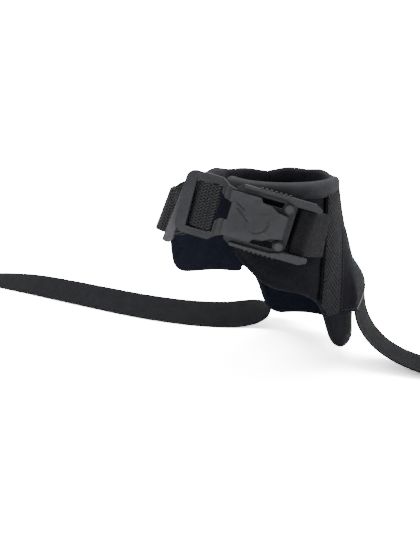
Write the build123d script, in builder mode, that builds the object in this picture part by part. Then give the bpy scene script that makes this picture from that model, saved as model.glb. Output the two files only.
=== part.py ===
"""Padded ankle support: cuff with two flaps, magnetic side-lever buckle and two tether straps.

Frame: origin at the middle of the ankle opening, +Z up, -Y towards the toes, +X the wearer's
side that carries the buckle's base.  Millimetres.
"""
import math
import os

from build123d import *

os.makedirs("parts", exist_ok=True)

# ---------------------------------------------------------------- driving dimensions
FLOOR_Z = -120.0            # the surface the foot stands on
RIM_Z = 74.0                # top edge of the padded wall
HEEL_Z = -98.0              # bottom edge behind the heel
SEAM_Y = 9.0                # upright seam on the buckle side
# cuff sections: height, centre y, half width, half depth of the outer face
SECTIONS = [(80, 0.5, 50.5, 50.5), (38, 6, 52.5, 58.5), (4, 13, 54, 65), (-30, 20, 55, 67),
            (-58, 24, 55.5, 67), (-104, 31, 56, 68)]
COVER_T = 1.4
FOAM_T = 5.2
LINING_T = 1.2
WALL_T = COVER_T + FOAM_T + LINING_T
BINDING_T = 1.8
BINDING_H = 11.0

STRAP_W = 38.0              # 1.5 inch webbing
STRAP_T = 1.8
STRIP_W = 25.0              # upright side webbing
STRIP_T = 1.6
TETHER_T = 2.0

# buckle frame: u runs from the strap side to the anchor side, v up, w outwards
BUCKLE_AT = (-12.0, -100.0, 63.5)
BUCKLE_YAW = 50.0
BUCKLE_TILT = 8.0
BUCKLE_SLOPE = -14.0

# left flap: a slightly curved wall, part of a cylinder about an upright line
LEFT_CENTRE = (239.0, -15.0)
LEFT_R = 295.0
LEFT_GAP = 0.5              # gap between the left flap and the back wall along their seam
HINGE_AT = (-55.6, 9.0, 33.0)


def save(part, name):
    part.label = name
    export_step(part, f"parts/{name}.step")


def buckle_plane():
    yaw, tilt, slope = (math.radians(a) for a in (BUCKLE_YAW, BUCKLE_TILT, BUCKLE_SLOPE))
    normal = Vector(math.sin(yaw) * math.cos(tilt), -math.cos(yaw) * math.cos(tilt), math.sin(tilt))
    level = Vector(math.cos(yaw), math.sin(yaw), 0)
    rising = normal.cross(level)
    along = level * math.cos(slope) + rising * math.sin(slope)
    return Plane(origin=BUCKLE_AT, x_dir=along, z_dir=normal)


BUCKLE = buckle_plane()
ALONG, UP = BUCKLE.x_dir, BUCKLE.y_dir
# section plane of the belt: local x is u and local y is w, its normal is -v
BELT = Plane(origin=BUCKLE_AT, x_dir=ALONG, z_dir=UP * -1)
SIDE_VIEW = Plane.YZ
FRONT_VIEW = Plane(origin=(0, 0, 0), x_dir=(1, 0, 0), z_dir=(0, -1, 0))


# ---------------------------------------------------------------- shared solids
def cuff_form(outset, flare=0.0):
    """The solid inside the cuff's outer face moved outwards by outset, more so lower down."""
    with BuildPart() as form:
        for height, centre_y, half_x, half_y in SECTIONS:
            outset += flare
            with BuildSketch(Plane.XY.offset(height)):
                with Locations((0, centre_y)):
                    Ellipse(half_x + outset, half_y + outset)
        loft()
    return form.part


def prism(plane, outline, both):
    """A tall prism over a closed outline, both ways from its plane."""
    with BuildPart() as body:
        with BuildSketch(plane):
            with BuildLine():
                Polyline(*outline, close=True)
            make_face()
        extrude(amount=both, both=True)
    return body.part


def under_edge():
    """Everything below the cuff's lower edge, seen from the side."""
    with BuildPart() as body:
        with BuildSketch(SIDE_VIEW):
            with BuildLine():
                front = Line((-90, 20), (-57, 14))
                edge = Spline(front @ 1, (-45, -9), (-22, -23), (9, -38), (21, -56), (29, -76),
                              (41, -92), (54, HEEL_Z))
                Polyline(edge @ 1, (130, HEEL_Z), (130, -130), (-90, -130), front @ 0)
            make_face()
        extrude(amount=90, both=True)
    return body.part


def seam_y(z):
    """The left seam leans back like the strap, so y grows with z."""
    return HINGE_AT[1] + (z - HINGE_AT[2]) * UP.Y / UP.Z


UNDER = under_edge()
ABOVE_RIM = prism(SIDE_VIEW, [(-90, RIM_Z), (130, RIM_Z), (130, 120), (-90, 120)], 90)
RIGHT_FRONT = prism(Plane.XY, [(0, SEAM_Y), (90, SEAM_Y), (90, -90), (0, -90)], 150)
RIGHT_SIDE = prism(Plane.XY, [(-30, SEAM_Y), (90, SEAM_Y), (90, -90), (-30, -90)], 150)
with BuildPart() as left_front_zone:
    with BuildSketch(SIDE_VIEW):
        with BuildLine():
            Polyline((seam_y(-130), -130), (seam_y(110), 110), (-120, 110), (-120, -130), close=True)
        make_face()
    extrude(amount=-90)
LEFT_FRONT = left_front_zone.part
FLAP_FRONT_CUT = prism(
    FRONT_VIEW, [(-90, 95), (-17, 95), (-17, 36), (-13, 23), (-3, 12), (9, 2), (16, -24), (-90, -24)], 90)

FACE = {d: cuff_form(d) for d in (-WALL_T - BINDING_T, -WALL_T, LINING_T - WALL_T, -COVER_T, 0,
                                  STRIP_T, BINDING_T)}
SLEEVE_FACE = cuff_form(0.6, 1.15)


def back_layer(outer, inner, name):
    with BuildPart() as layer:
        add(FACE[outer])
        add(FACE[inner], mode=Mode.SUBTRACT)
        for waste in (UNDER, ABOVE_RIM, RIGHT_FRONT, LEFT_FRONT):
            add(waste, mode=Mode.SUBTRACT)
    save(layer.part, name)
    return layer.part


def right_layer(outer, inner, name):
    with BuildPart() as layer:
        add(FACE[outer])
        add(FACE[inner], mode=Mode.SUBTRACT)
        add(RIGHT_SIDE, mode=Mode.INTERSECT)
        for waste in (UNDER, ABOVE_RIM, FLAP_FRONT_CUT):
            add(waste, mode=Mode.SUBTRACT)
    save(layer.part, name)
    return layer.part


LAYERS = [("lining", LINING_T - WALL_T, -WALL_T), ("foam", -COVER_T, LINING_T - WALL_T),
          ("cover", 0, -COVER_T)]
back = {kind: back_layer(outer, inner, f"back_{kind}") for kind, outer, inner in LAYERS}
right = {kind: right_layer(outer, inner, f"right_flap_{kind}") for kind, outer, inner in LAYERS}


# ---------------------------------------------------------------- left flap
def left_outline(top_in, front_in, bottom_in):
    """Side view of the left flap, each edge drawn in by the amount given."""
    top = RIM_Z - top_in
    low = bottom_in
    with BuildPart() as body:
        with BuildSketch(SIDE_VIEW):
            with BuildLine():
                start = (seam_y(top) - LEFT_GAP, top)
                end = (seam_y(-31 + low) - LEFT_GAP, -31 + low)
                upper = Spline(start, (-40, top - 2), (-84 + front_in, 56 - top_in))
                nose = Spline(upper @ 1, (-94 + front_in, 28), (-92 + front_in, -4 + low),
                              (-80 + front_in, -16 + low))
                lower = Spline(nose @ 1, (-45, -24 + low), end)
                Line(lower @ 1, upper @ 0)
            make_face()
        extrude(amount=-90)
    return body.part


def left_band(outer, inner):
    """Upright cylinder shell between two insets of the left flap's outer face."""
    with BuildPart() as body:
        with BuildSketch(Plane.XY.offset(-130)):
            with Locations(LEFT_CENTRE):
                Circle(LEFT_R - outer)
                Circle(LEFT_R - inner, mode=Mode.SUBTRACT)
        extrude(amount=260)
    return body.part


LEFT_AREA = left_outline(0, 0, 0)
for kind, outer, inner in LAYERS:
    with BuildPart() as flap_layer:
        add(left_band(-outer, -inner))
        add(LEFT_AREA, mode=Mode.INTERSECT)
    save(flap_layer.part, f"left_flap_{kind}")


# ---------------------------------------------------------------- strap path
def belt_band(plane, points, radii, thickness, width):
    """Webbing that bends in one plane: a thick line drawn there and extruded both ways."""
    with BuildPart() as band:
        with BuildSketch(plane):
            with BuildLine():
                FilletPolyline(*points, radius=radii)
            trace(line_width=thickness)
        extrude(amount=width / 2, both=True)
    return band.part


# (u, w): sewn end on the left flap, bend, under the frame's left bar, over the middle bar, back
STRAP_POINTS = [(-4.6, -50.8), (-17.5, -28.5), (-15.5, 3.1), (13.6, 3.1), (17.5, 8.5), (33.2, 8.5),
                (33.2, 0.9), (-11.2, 0.9), (-11.8, -12)]
STRAP_RADII = [16, 7.5, 3, 3, 1.5, 1.5, 5]
STRAP_ROOM = belt_band(BELT, STRAP_POINTS, STRAP_RADII, STRAP_T + 0.9, STRAP_W + 1.2)
FLAP_STRAP_PLANE = Plane(origin=BUCKLE_AT, x_dir=(1, 0, 0), z_dir=UP)
with BuildPart() as flap_webbing:
    add(left_band(-STRAP_T, 0))
    with BuildSketch(FLAP_STRAP_PLANE.offset(-STRAP_W / 2)):
        with Locations((-20, 72.5)):
            Rectangle(120, 81)
    extrude(amount=STRAP_W, mode=Mode.INTERSECT)
save(flap_webbing.part, "flap_webbing")


# ---------------------------------------------------------------- rolled bindings
def rim_band():
    """U-shaped binding over the whole rim."""
    with BuildPart() as band:
        add(FACE[BINDING_T])
        add(FACE[-WALL_T - BINDING_T], mode=Mode.SUBTRACT)
        with BuildSketch(Plane.XY.offset(RIM_Z - BINDING_H)):
            Rectangle(300, 300)
        extrude(amount=BINDING_H + BINDING_T, mode=Mode.INTERSECT)
    with BuildPart() as wall:
        add(FACE[0])
        add(FACE[-WALL_T], mode=Mode.SUBTRACT)
        add(ABOVE_RIM, mode=Mode.SUBTRACT)
    return band.part - wall.part


RIM = rim_band()
with BuildPart() as back_binding:
    add(RIM)
    add(RIGHT_FRONT, mode=Mode.SUBTRACT)
    add(LEFT_FRONT, mode=Mode.SUBTRACT)
save(back_binding.part, "back_rim_binding")

with BuildPart() as right_binding:
    add(RIM)
    add(RIGHT_SIDE, mode=Mode.INTERSECT)
    add(FLAP_FRONT_CUT, mode=Mode.SUBTRACT)
save(right_binding.part, "right_rim_binding")

with BuildPart() as left_binding:
    add(left_band(-BINDING_T, WALL_T + BINDING_T))
    add(left_outline(-BINDING_T, 0, 0), mode=Mode.INTERSECT)
    add(left_outline(BINDING_H, -6, -6), mode=Mode.SUBTRACT)
    add(left_band(0, WALL_T) & LEFT_AREA, mode=Mode.SUBTRACT)
    add(STRAP_ROOM, mode=Mode.SUBTRACT)
    add(flap_webbing.part, mode=Mode.SUBTRACT)
save(left_binding.part, "left_rim_binding")


# ---------------------------------------------------------------- side webbing, sleeves, tethers
STRIP_TOP = RIM_Z - BINDING_H - 1
with BuildPart() as right_strip:
    add(FACE[STRIP_T])
    add(FACE[0], mode=Mode.SUBTRACT)
    add(UNDER, mode=Mode.SUBTRACT)
    with BuildSketch(Plane.XY.offset(-52)):
        with Locations((60, SEAM_Y + 2 + STRIP_W / 2)):
            Rectangle(60, STRIP_W)
    extrude(amount=STRIP_TOP + 52, mode=Mode.INTERSECT)
save(right_strip.part, "right_side_strip")

with BuildPart() as left_strip:
    add(FACE[STRIP_T])
    add(FACE[0], mode=Mode.SUBTRACT)
    with BuildSketch(Plane.XY.offset(-52)):
        with Locations((-60, SEAM_Y + 17 + STRIP_W / 2)):
            Rectangle(60, STRIP_W)
    extrude(amount=STRIP_TOP + 52, mode=Mode.INTERSECT)
save(left_strip.part, "left_side_strip")


def largest_radii(points):
    """For each corner 0.45 of its shorter run over the tangent of half the turn."""
    vectors = [Vector(*p) for p in points]
    radii = []
    for before, corner, after in zip(vectors, vectors[1:], vectors[2:]):
        first, second = corner - before, after - corner
        half_turn = math.radians(first.get_angle(second)) / 2
        radii.append(0.45 * min(first.length, second.length) / math.tan(half_turn))
    return radii


# right tether: in the upright plane that leaves the sleeve outwards and backwards
TETHER_DIR = Vector(0.75, 0.66, 0).normalized()
TETHER_FROM = Vector(48.6, 71.8, 0)
TETHER_PLANE = Plane(origin=TETHER_FROM, x_dir=TETHER_DIR, z_dir=TETHER_DIR.cross(Vector(0, 0, 1)))
FLAT_Z = FLOOR_Z + TETHER_T / 2
TETHER_POINTS = [(-1.6, -38), (0.5, -58), (9, -77), (24, -94), (46, -107), (76, -115), (112, FLAT_Z),
                 (150, FLAT_Z + 0.9), (188, FLAT_Z + 0.3), (222, FLAT_Z + 1.2)]
EYELET_BACK = 13.0          # eyelet centre to the strap's cut end
EYELET_R = 3.2
tether_radii = largest_radii(TETHER_POINTS)

end, before_end = (Vector(*p) for p in (TETHER_POINTS[-1], TETHER_POINTS[-2]))
eyelet_sz = end + (before_end - end).normalized() * EYELET_BACK
RIGHT_EYELET = TETHER_FROM + TETHER_DIR * eyelet_sz.X + Vector(0, 0, eyelet_sz.Y)

tether = belt_band(TETHER_PLANE, TETHER_POINTS, tether_radii, TETHER_T, STRAP_W)
with BuildPart() as right_tether:
    add(tether)
    with Locations(Plane(origin=RIGHT_EYELET)):
        Cylinder(EYELET_R + 0.9, 20, mode=Mode.SUBTRACT)
save(right_tether.part, "right_tether")
print("right tether length", round(right_tether.part.volume / STRAP_W / TETHER_T, 1))

# left tether: leaves the left sleeve, twists forwards and lies tilted on the surface
LEFT_TETHER = [
    # centre, width direction
    ((-47.6, 72.5, -38), (0.56, 0.83, 0)),
    ((-49.4, 74.6, -59), (0.54, 0.84, 0)),
    ((-56.5, 73.5, -80), (0.40, 0.91, 0.08)),
    ((-67.0, 62.0, -96), (0.22, 0.94, 0.26)),
    ((-79.0, 41.0, -105), (0.04, 0.91, 0.40)),
    ((-95.0, 13.0, -109.5), (-0.16, 0.88, 0.45)),
    ((-119, -17.0, -110), (-0.33, 0.83, 0.46)),
    ((-152, -48.0, -110), (-0.44, 0.77, 0.46)),
    ((-192, -78.0, -110), (-0.47, 0.75, 0.46)),
    ((-238, -108, -110), (-0.48, 0.75, 0.46)),
    ((-288, -140, -110), (-0.47, 0.76, 0.45)),
    ((-338, -171, -111), (-0.48, 0.78, 0.40)),
    ((-384, -200, -114.8), (-0.50, 0.84, 0.22)),
    ((-420, -222, -118), (-0.52, 0.85, 0.0)),
    ((-448, -239, -118), (-0.52, 0.85, 0.0)),
]


def ribbon(stations, thickness, width):
    """Ruled loft through flat sections set square to the path, from its last station to its first."""
    centres = [Vector(*centre) for centre, _ in stations]
    with BuildPart() as body:
        for i in reversed(range(len(stations))):
            ahead = (centres[min(i + 1, len(centres) - 1)] - centres[max(i - 1, 0)]).normalized()
            across = Vector(*stations[i][1])
            across = (across - ahead * across.dot(ahead)).normalized()
            with BuildSketch(Plane(origin=centres[i], x_dir=across, z_dir=ahead)):
                Rectangle(width, thickness)
        loft(ruled=True)
    return body.part


last, last_but_one = (Vector(*LEFT_TETHER[i][0]) for i in (-1, -2))
LEFT_EYELET = last + (last_but_one - last).normalized() * EYELET_BACK
with BuildPart() as left_tether:
    add(ribbon(LEFT_TETHER, TETHER_T, STRAP_W))
    with Locations(Plane(origin=LEFT_EYELET)):
        Cylinder(EYELET_R + 0.9, 20, mode=Mode.SUBTRACT)
save(left_tether.part, "left_tether")
left_run = [Vector(*c) for c, _ in LEFT_TETHER]
print("left tether length", round(sum((b - a).length for a, b in zip(left_run, left_run[1:])), 1),
      "from volume", round(left_tether.part.volume / STRAP_W / TETHER_T, 1))

FLANGE_R = 6.2
FLANGE_T = 0.7
FLANGE_LOW = TETHER_T / 2 + 0.15
FLANGE_TOP = FLANGE_LOW + FLANGE_T
for name, centre in (("right_tether_eyelet", RIGHT_EYELET), ("left_tether_eyelet", LEFT_EYELET)):
    with BuildPart() as eyelet:
        with BuildSketch(Plane.XZ):
            with BuildLine():
                Polyline((EYELET_R, -FLANGE_TOP), (FLANGE_R, -FLANGE_TOP), (FLANGE_R, -FLANGE_LOW),
                         (EYELET_R + 0.8, -FLANGE_LOW), (EYELET_R + 0.8, FLANGE_LOW),
                         (FLANGE_R, FLANGE_LOW), (FLANGE_R, FLANGE_TOP), (EYELET_R, FLANGE_TOP),
                         close=True)
            make_face()
        revolve(axis=Axis.Z)
    save(eyelet.part.moved(Location(centre)), name)

# sleeves: a thick outer panel behind each side strip, with a pocket for the tether
SLEEVE_TOP = 24.0
SLEEVE_FRONT = SEAM_Y + 2 + STRIP_W + 0.5
for name, side, pocket_part in (("right_sleeve", 1, tether), ("left_sleeve", -1, None)):
    with BuildPart() as sleeve:
        add(SLEEVE_FACE)
        add(FACE[0], mode=Mode.SUBTRACT)
        with BuildSketch(SIDE_VIEW):
            with BuildLine():
                front_y = SLEEVE_FRONT + (0 if side > 0 else 15)
                hem = Spline((front_y, -58), (58, -59), (80, -53), (96, -50))
                Polyline(hem @ 1, (96, 6), (70, SLEEVE_TOP), (front_y, SLEEVE_TOP), hem @ 0)
            make_face()
        extrude(amount=80 * side, mode=Mode.INTERSECT)
        with BuildSketch(Plane.XY.offset(-64)):
            with Locations((side * 56, 60)):
                Rectangle(88, 96)
        extrude(amount=100, mode=Mode.INTERSECT)
        if side > 0:
            add(belt_band(TETHER_PLANE, [(-1.2, -36), (0, -62), (7, -80)], [60], TETHER_T + 1.0,
                          STRAP_W + 1.6), mode=Mode.SUBTRACT)
        else:
            add(ribbon([((-47.3, 72.2, -36), (0.56, 0.83, 0)), ((-49.2, 74.5, -60), (0.54, 0.84, 0)),
                        ((-55.5, 76.0, -82), (0.42, 0.90, 0.12))], TETHER_T + 1.0, STRAP_W + 1.6),
                mode=Mode.SUBTRACT)
    save(sleeve.part, name)


# ---------------------------------------------------------------- buckle base and levers
BASE_T = 3.0
PIN_U, PIN_V, PIN_R = 92.0, 16.0, 2.0
BAR = (105.0, 110.5)        # rear bar that the anchor webbing goes round
MAGNET_U = 66.0
MAGNET_R = 9.0

with BuildPart() as base:
    with BuildSketch(BUCKLE):
        with BuildLine():
            Polyline((47, -9), (52, -14.5), (86, -14.5), (90, -23.5), (BAR[1], -23.5), (BAR[1], 23.5),
                     (90, 23.5), (86, 14.5), (52, 14.5), (47, 9), close=True)
        make_face()
    extrude(amount=BASE_T)
    with BuildSketch(BUCKLE):
        with Locations(((98.5 + BAR[0]) / 2, 0)):
            Rectangle(BAR[0] - 98.5, 2 * 19.8)
        with Locations((PIN_U, PIN_V), (PIN_U, -PIN_V)):
            Circle(PIN_R)
    extrude(amount=BASE_T, mode=Mode.SUBTRACT)
    with BuildSketch(BUCKLE.offset(BASE_T)):
        with Locations((MAGNET_U, 0)):
            Circle(MAGNET_R + 2)
            Circle(MAGNET_R, mode=Mode.SUBTRACT)
    extrude(amount=4.5)
save(base.part, "buckle_base")

with BuildPart() as base_magnet:
    with BuildSketch(BUCKLE.offset(BASE_T)):
        with Locations((MAGNET_U, 0)):
            Circle(MAGNET_R)
    extrude(amount=3.4)
save(base_magnet.part, "base_magnet")
with BuildPart() as base_cap:
    with BuildSketch(BUCKLE.offset(BASE_T + 3.4)):
        with Locations((MAGNET_U, 0)):
            Circle(MAGNET_R)
    extrude(amount=1.1)
save(base_cap.part, "base_magnet_cap")

with BuildPart() as pins:
    with BuildSketch(BUCKLE):
        with Locations((PIN_U, PIN_V), (PIN_U, -PIN_V)):
            Circle(PIN_R)
    extrude(amount=10.6)
    with BuildSketch(BUCKLE.offset(10.6)):
        with Locations((PIN_U, PIN_V), (PIN_U, -PIN_V)):
            Circle(3.4)
    extrude(amount=1.2)
save(pins.part, "lever_pins")

LEVER_LOW, LEVER_STEP, LEVER_TOP = 3.3, 7.8, 11.4
LEVER_IN, WALL_IN, LEVER_OUT = 19.6, 23.2, 25.8
BOSS_R = 4.6
RUNNING = 0.06
SPRING_POCKET_R = 3.9
for name, side in (("upper_lever", 1), ("lower_lever", -1)):
    with BuildPart() as lever:
        with BuildSketch(BUCKLE.offset(LEVER_LOW)):
            with BuildLine():
                Polyline(*[(u, side * v) for u, v in
                           [(46, LEVER_IN), (46, 22.0), (52, LEVER_OUT), (112, LEVER_OUT), (118, 22.5),
                            (118, LEVER_IN)]], close=True)
            make_face()
            with Locations((PIN_U, side * PIN_V)):
                Circle(BOSS_R)
            with Locations((PIN_U, side * (PIN_V + LEVER_IN) / 2)):
                Rectangle(2 * BOSS_R, LEVER_IN - PIN_V + 1)
        extrude(amount=LEVER_STEP - LEVER_LOW)
        with BuildSketch(BUCKLE.offset(LEVER_STEP)):
            with BuildLine():
                Polyline(*[(u, side * v) for u, v in
                           [(52, WALL_IN), (52, LEVER_OUT), (112, LEVER_OUT), (118, 22.5), (118, LEVER_IN),
                            (98, LEVER_IN), (86, WALL_IN)]], close=True)
            make_face()
        extrude(amount=LEVER_TOP - LEVER_STEP)
        with BuildSketch(BUCKLE.offset(LEVER_LOW + 0.6)):
            for step in range(7):
                with Locations((66 + 4 * step, side * LEVER_OUT)):
                    Circle(1.3)
        extrude(amount=LEVER_TOP - LEVER_LOW - 1.2)
        with BuildSketch(BUCKLE.offset(LEVER_LOW)):
            with Locations((PIN_U, side * PIN_V)):
                Circle(PIN_R + RUNNING)
        extrude(amount=LEVER_TOP, mode=Mode.SUBTRACT)
        with BuildSketch(BUCKLE.offset(LEVER_LOW)):
            with Locations((PIN_U, side * PIN_V)):
                Circle(SPRING_POCKET_R)
        extrude(amount=2.6, mode=Mode.SUBTRACT)
    save(lever.part, name)

    with BuildPart() as spring:
        with BuildLine() as coil:
            Helix(pitch=0.75, height=1.5, radius=3.0)
        with BuildSketch(Plane(origin=coil.line @ 0, z_dir=coil.line % 0)):
            Circle(0.3)
        sweep(is_frenet=True)
    at_pin = BUCKLE.location * Location((PIN_U, side * PIN_V, LEVER_LOW + 0.5))
    save(spring.part.moved(at_pin), name.replace("lever", "lever_spring"))

# ---------------------------------------------------------------- male half
MALE_LEFT = 3.0
FRAME_LOW, FRAME_TOP = 5.0, 9.5
PLATE_LOW, PLATE_TOP = 8.3, 12.2
NECK_LOW = 8.2              # above the levers, which swing under it
BAR_LEFT, BAR_RIGHT, BAR_TOP = 26.0, 31.2, 7.4
WINDOW_LEFT, WINDOW_HALF = 12.4, 20.3
GAP_RIGHT, GAP_HALF = 35.0, 19.6
SHOULDER_TOP = 10.8
with BuildPart() as male:
    with BuildSketch(BUCKLE.offset(FRAME_LOW)):
        with BuildLine():
            FilletPolyline((MALE_LEFT, -26.5), (33, -26.5), (41.5, -20), (41.5, 21), (33, 26.5),
                           (MALE_LEFT, 26.5), close=True, radius=[8, 5, 0.8, 0.8, 5, 8])
        make_face()
        with Locations(((WINDOW_LEFT + BAR_LEFT) / 2, 0)):
            Rectangle(BAR_LEFT - WINDOW_LEFT, 2 * WINDOW_HALF, mode=Mode.SUBTRACT)
    extrude(amount=FRAME_TOP - FRAME_LOW)
    # the middle bar is lower, so that the strap over it lies in the frame
    with BuildSketch(BUCKLE.offset(BAR_TOP)):
        with Locations(((BAR_LEFT + BAR_RIGHT) / 2, 0)):
            Rectangle(BAR_RIGHT - BAR_LEFT + 1, 2 * WINDOW_HALF)
    extrude(amount=FRAME_TOP, mode=Mode.SUBTRACT)
    # shoulders that lead from the frame to the plate
    with BuildSketch(BUCKLE.offset(NECK_LOW)):
        with BuildLine():
            Polyline((38, -21.5), (46.5, -18.5), (46.5, 20.5), (38, 22.5), close=True)
        make_face()
    extrude(amount=SHOULDER_TOP - NECK_LOW)
    with BuildSketch(BUCKLE.offset(PLATE_LOW)):
        with BuildLine():
            Polyline((43, -18.8), (68, -18.8), (70, -15.5), (78, -14.5), (84, -11), (93, -9.5),
                     (93, 9.5), (84, 11), (78, 14.5), (70, 15.5), (68, 18.8), (43, 18.8), close=True)
        make_face()
    extrude(amount=PLATE_TOP - PLATE_LOW)
    # the gap that the strap turns down through, and its notch into the plate
    with BuildSketch(BUCKLE):
        with BuildLine():
            Polyline((BAR_RIGHT, -GAP_HALF), (GAP_RIGHT, -GAP_HALF), (GAP_RIGHT, -10), (38, -7), (45, -6),
                     (45.5, 9), (39, 11), (GAP_RIGHT, 15), (GAP_RIGHT, GAP_HALF), (BAR_RIGHT, GAP_HALF),
                     close=True)
        make_face()
    extrude(amount=2 * PLATE_TOP, mode=Mode.SUBTRACT)
    with BuildSketch(BUCKLE.offset(PLATE_LOW)):
        with Locations((MAGNET_U, 0)):
            Circle(MAGNET_R)
    extrude(amount=2.5, mode=Mode.SUBTRACT)
    # two slanted guide grooves, and the thumb rest, which is deepest at its far end
    with BuildSketch(BUCKLE.offset(PLATE_TOP - 0.6)):
        with Locations(Location((53.5, 7.8), -30), Location((55.5, 2.8), -36)):
            SlotOverall(10, 1.5)
        with Locations(Location((56.5, 1.6), -36)):
            SlotOverall(15, 1.5)
    extrude(amount=2, mode=Mode.SUBTRACT)
    with BuildSketch(BUCKLE.offset(PLATE_TOP) * Location((MAGNET_U + 3, -1, 0), (4.0, 5.0, 0))):
        Ellipse(10.5, 10)
    extrude(amount=3, mode=Mode.SUBTRACT)
save(male.part, "male_buckle")

with BuildPart() as plate_magnet:
    with BuildSketch(BUCKLE.offset(PLATE_LOW + 0.5)):
        with Locations((MAGNET_U, 0)):
            Circle(MAGNET_R)
    extrude(amount=2.0)
save(plate_magnet.part, "plate_magnet")
with BuildPart() as plate_cap:
    with BuildSketch(BUCKLE.offset(PLATE_LOW)):
        with Locations((MAGNET_U, 0)):
            Circle(MAGNET_R)
    extrude(amount=0.5)
save(plate_cap.part, "plate_magnet_cap")

# ---------------------------------------------------------------- webbing on the buckle
ANCHOR_POINTS = [(140, -31), (120, -4), (113, 4.2), (102.2, 4.2), (102.2, -1.4), (108.5, -1.4),
                 (115, -6), (138, -33)]
with BuildPart() as anchor:
    add(belt_band(BELT, ANCHOR_POINTS, [9, 6, 1.6, 1.6, 5, 10], STRAP_T, STRAP_W))
    add(FACE[0], mode=Mode.SUBTRACT)
    add(RIGHT_SIDE, mode=Mode.INTERSECT)
save(anchor.part, "anchor_webbing")

save(belt_band(BELT, STRAP_POINTS, STRAP_RADII, STRAP_T, STRAP_W), "front_webbing")

# elastic loop round both layers of the strap, just outside the frame
KEEPER_AT = (-4.2, -2.2, 2.0)
KEEPER_L, KEEPER_W, KEEPER_H, KEEPER_T = 6.8, 46.5, 6.6, 1.1
with BuildPart() as keeper:
    with BuildSketch(Plane(origin=BUCKLE.from_local_coords(Vector(*KEEPER_AT)), x_dir=UP, z_dir=ALONG)):
        Rectangle(KEEPER_W, KEEPER_H)
        Rectangle(KEEPER_W - 2 * KEEPER_T, KEEPER_H - 2 * KEEPER_T, mode=Mode.SUBTRACT)
    extrude(amount=KEEPER_L)
save(keeper.part, "strap_keeper")
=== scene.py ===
import math

import bmesh
import bpy
import numpy as np
from mathutils import Matrix, Vector, noise


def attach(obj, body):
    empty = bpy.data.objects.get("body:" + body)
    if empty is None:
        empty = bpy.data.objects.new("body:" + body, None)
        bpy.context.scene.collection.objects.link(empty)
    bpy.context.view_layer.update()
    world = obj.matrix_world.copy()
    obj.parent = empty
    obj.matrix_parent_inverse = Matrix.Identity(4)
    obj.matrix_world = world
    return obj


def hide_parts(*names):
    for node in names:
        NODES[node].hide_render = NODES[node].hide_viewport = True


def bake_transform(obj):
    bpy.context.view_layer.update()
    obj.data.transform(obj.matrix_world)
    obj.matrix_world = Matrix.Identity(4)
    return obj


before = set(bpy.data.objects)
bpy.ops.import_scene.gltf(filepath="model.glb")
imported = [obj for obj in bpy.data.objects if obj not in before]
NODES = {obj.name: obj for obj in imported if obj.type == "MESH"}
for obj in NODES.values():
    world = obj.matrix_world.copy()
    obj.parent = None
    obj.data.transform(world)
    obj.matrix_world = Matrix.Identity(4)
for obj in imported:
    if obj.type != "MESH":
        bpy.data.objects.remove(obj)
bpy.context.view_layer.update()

# Sizes below are in millimetres, as in the part, and meshes are scaled to metres when made.
MM = 0.001
FLOOR_Z = -120.0
RIM_Z = 74.0
HEEL_Z = -98.0
SEAM_Y = 9.0
WALL_T = 7.8
BINDING_H = 11.0
BINDING_LOW = RIM_Z - BINDING_H
STRAP_W = 38.0
STRAP_T = 1.8
STRIP_W = 25.0
TETHER_T = 2.0
# the wall's outer face: height, centre y, half width x, half depth y
SECTIONS = [(-104, 31, 56, 68), (-58, 24, 55.5, 67), (-30, 20, 55, 67), (4, 13, 54, 65),
            (38, 6, 52.5, 58.5), (80, 0.5, 50.5, 50.5)]
# the cuff's lower edge seen from the side: y, z
LOWER_EDGE = [(-57, 14), (-45, -9), (-22, -23), (9, -38), (21, -56), (29, -76), (41, -92), (54, HEEL_Z)]
HINGE_AT = (-55.6, 9.0, 33.0)

# the buckle's own directions: along the belt, up across it, and outwards
BUCKLE_AT = np.array((-12.0, -100.0, 63.5))
YAW, TILT, SLOPE = (math.radians(a) for a in (50, 8, -14))
OUT = np.array((math.sin(YAW) * math.cos(TILT), -math.cos(YAW) * math.cos(TILT), math.sin(TILT)))
LEVEL = np.array((math.cos(YAW), math.sin(YAW), 0))
ALONG = LEVEL * math.cos(SLOPE) + np.cross(OUT, LEVEL) * math.sin(SLOPE)
UP = np.cross(OUT, ALONG)


# ---------------- camera, light, floor
CAMERA_AT = (348.9, -294.6, 148.0)
CAMERA_DOWN = 21.4          # degrees below the level
CAMERA_TURN = 58            # degrees to the left of +Y
LENS = 31.05

# light from all round is strongest overhead; what the camera sees behind the object is plain white
SKY_SIDES, SKY_TOP, SKY_SEEN = 0.35, 3.4, 24.0
# the floor is exposed as a white sweep: brighter to the camera than as a reflector, more so far off
FLOOR_REFLECTS, FLOOR_SEEN_NEAR, FLOOR_SEEN_FAR = 0.9, 4.2, 20.0
FLOOR_NEAR, FLOOR_FAR, FLOOR_HALF = 0.5, 3.0, 40.0      # metres
# name, place in metres, width in metres, watts
LAMPS = (("overhead", (0.05, 0.25, 1.3), 1.0, 62), ("from_left", (-0.9, -0.5, 0.9), 0.7, 18),
         ("behind_right", (0.7, 1.0, 0.8), 0.7, 22))


def placed(name, data):
    """A new object that holds the data, linked into the scene."""
    made = bpy.data.objects.new(name, data)
    bpy.context.scene.collection.objects.link(made)
    return made


def make_camera():
    camera = placed("camera", bpy.data.cameras.new("camera"))
    camera.location = Vector(CAMERA_AT) * MM
    camera.rotation_euler = (math.radians(90 - CAMERA_DOWN), 0, math.radians(CAMERA_TURN))
    camera.data.lens = LENS
    camera.data.clip_start = 0.01
    bpy.context.scene.camera = camera


def make_lamps():
    for name, place, width, power in LAMPS:
        light = bpy.data.lights.new(name, "AREA")
        light.shape = "DISK"
        light.size = width
        light.energy = power
        lamp = placed(name, light)
        lamp.location = place
        lamp.rotation_euler = (-Vector(place)).to_track_quat("-Z", "Y").to_euler()


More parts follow.
